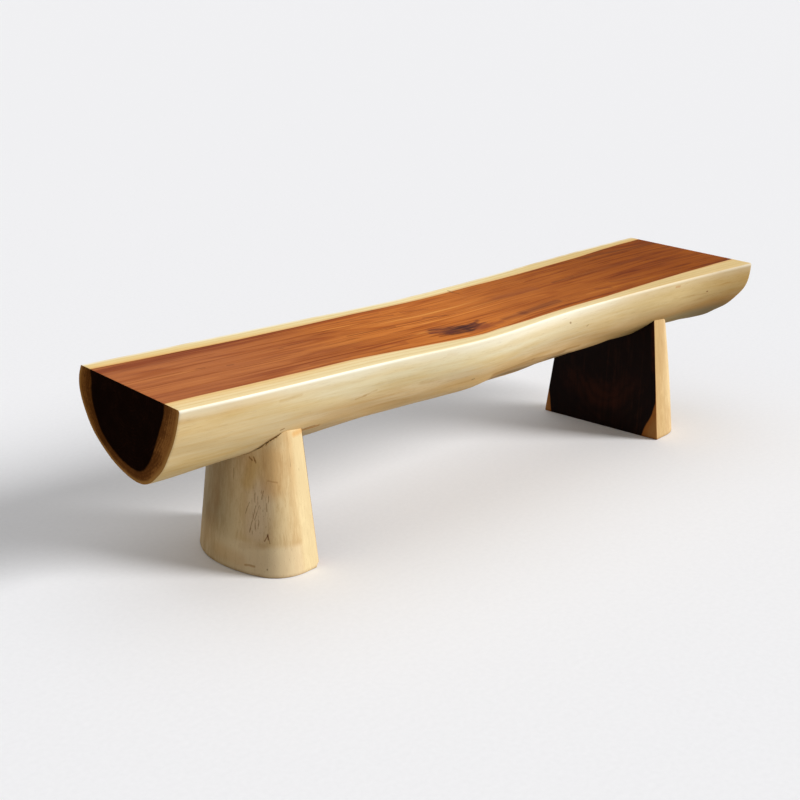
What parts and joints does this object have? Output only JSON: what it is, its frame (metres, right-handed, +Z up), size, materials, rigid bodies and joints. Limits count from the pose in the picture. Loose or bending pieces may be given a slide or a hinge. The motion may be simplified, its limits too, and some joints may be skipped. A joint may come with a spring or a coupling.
{
  "type": "wooden bench",
  "caption": "Backless live-edge bench: a half-log seat, flat side up, on slab legs cut from half logs and scribed to its round underside.",
  "frame": {"origin": "on the floor, under the middle of the part's bounding box", "axes": "+X along the seat towards the end with the turned leg, -Y towards the front long edge, +Z up"},
  "size_m": [1.856, 0.4726, 0.45],
  "materials": {
    "seat_wood": "satin, brown heartwood between pale sapwood edges",
    "leg_wood": "satin, pale sapwood outside and dark heartwood on the sawn inner face",
    "tenon_wood": "bare hardwood"
  },
  "bodies": {
    "root": {"seat_log": "seat_wood", "left_leg": "leg_wood", "right_leg": "leg_wood", "left_front_tenon": "tenon_wood", "left_back_tenon": "tenon_wood", "right_front_tenon": "tenon_wood", "right_back_tenon": "tenon_wood"}
  },
  "joints": []
}
